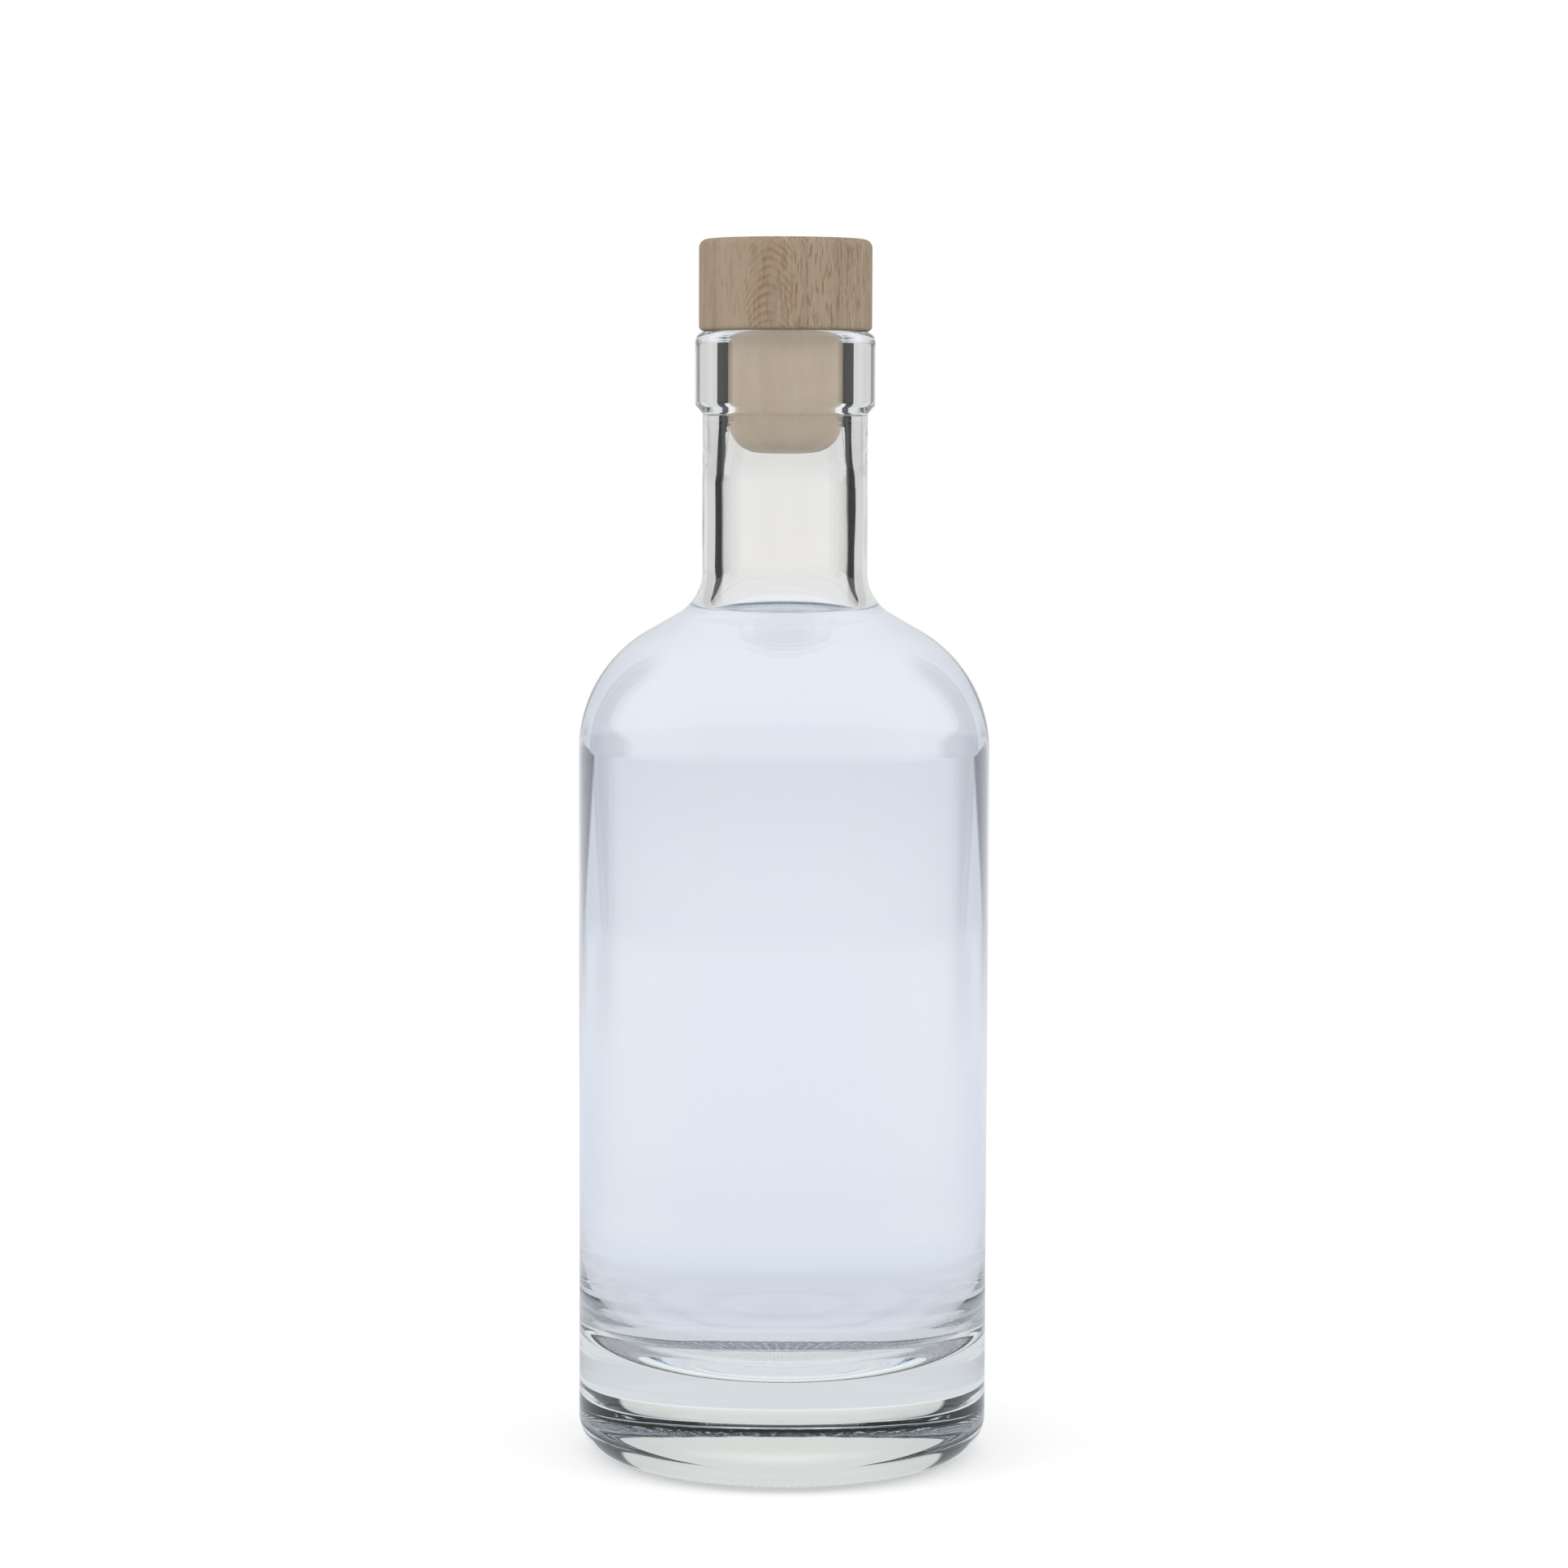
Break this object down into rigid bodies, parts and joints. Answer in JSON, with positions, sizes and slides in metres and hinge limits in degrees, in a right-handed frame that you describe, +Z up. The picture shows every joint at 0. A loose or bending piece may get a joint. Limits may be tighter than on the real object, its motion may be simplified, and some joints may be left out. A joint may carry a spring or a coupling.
{
  "type": "glass bottle",
  "caption": "Round clear glass spirits bottle with a heavy base, rounded shoulder and straight collared neck, filled with pale clear drink and closed by a wood-topped pull-out stopper.",
  "frame": {"origin": "centre of the foot, on the plane that the bottle stands on", "axes": "+Z up along the bottle's axis, towards the stopper; +X to the right as seen in the reference view, +Y away from the viewer"},
  "size_m": [0.068, 0.068, 0.2014],
  "materials": {
    "clear_glass": "fire-polished clear flint glass",
    "pale_drink": "clear liquid with a pale blue tint",
    "cream_plastic": "smooth moulded cream closed-cell foam",
    "maple": "turned, sanded pale wood with a matt sealer"
  },
  "bodies": {
    "bottle": {"glass_bottle": "clear_glass", "drink": "pale_drink"},
    "stopper": {"stopper_shank": "cream_plastic", "stopper_head": "maple"}
  },
  "joints": [
    {"name": "stopper_pull", "type": "slide", "parent": "bottle", "child": "stopper", "axis": [0, 0, 1], "range_m": [0, 0.03]}
  ]
}
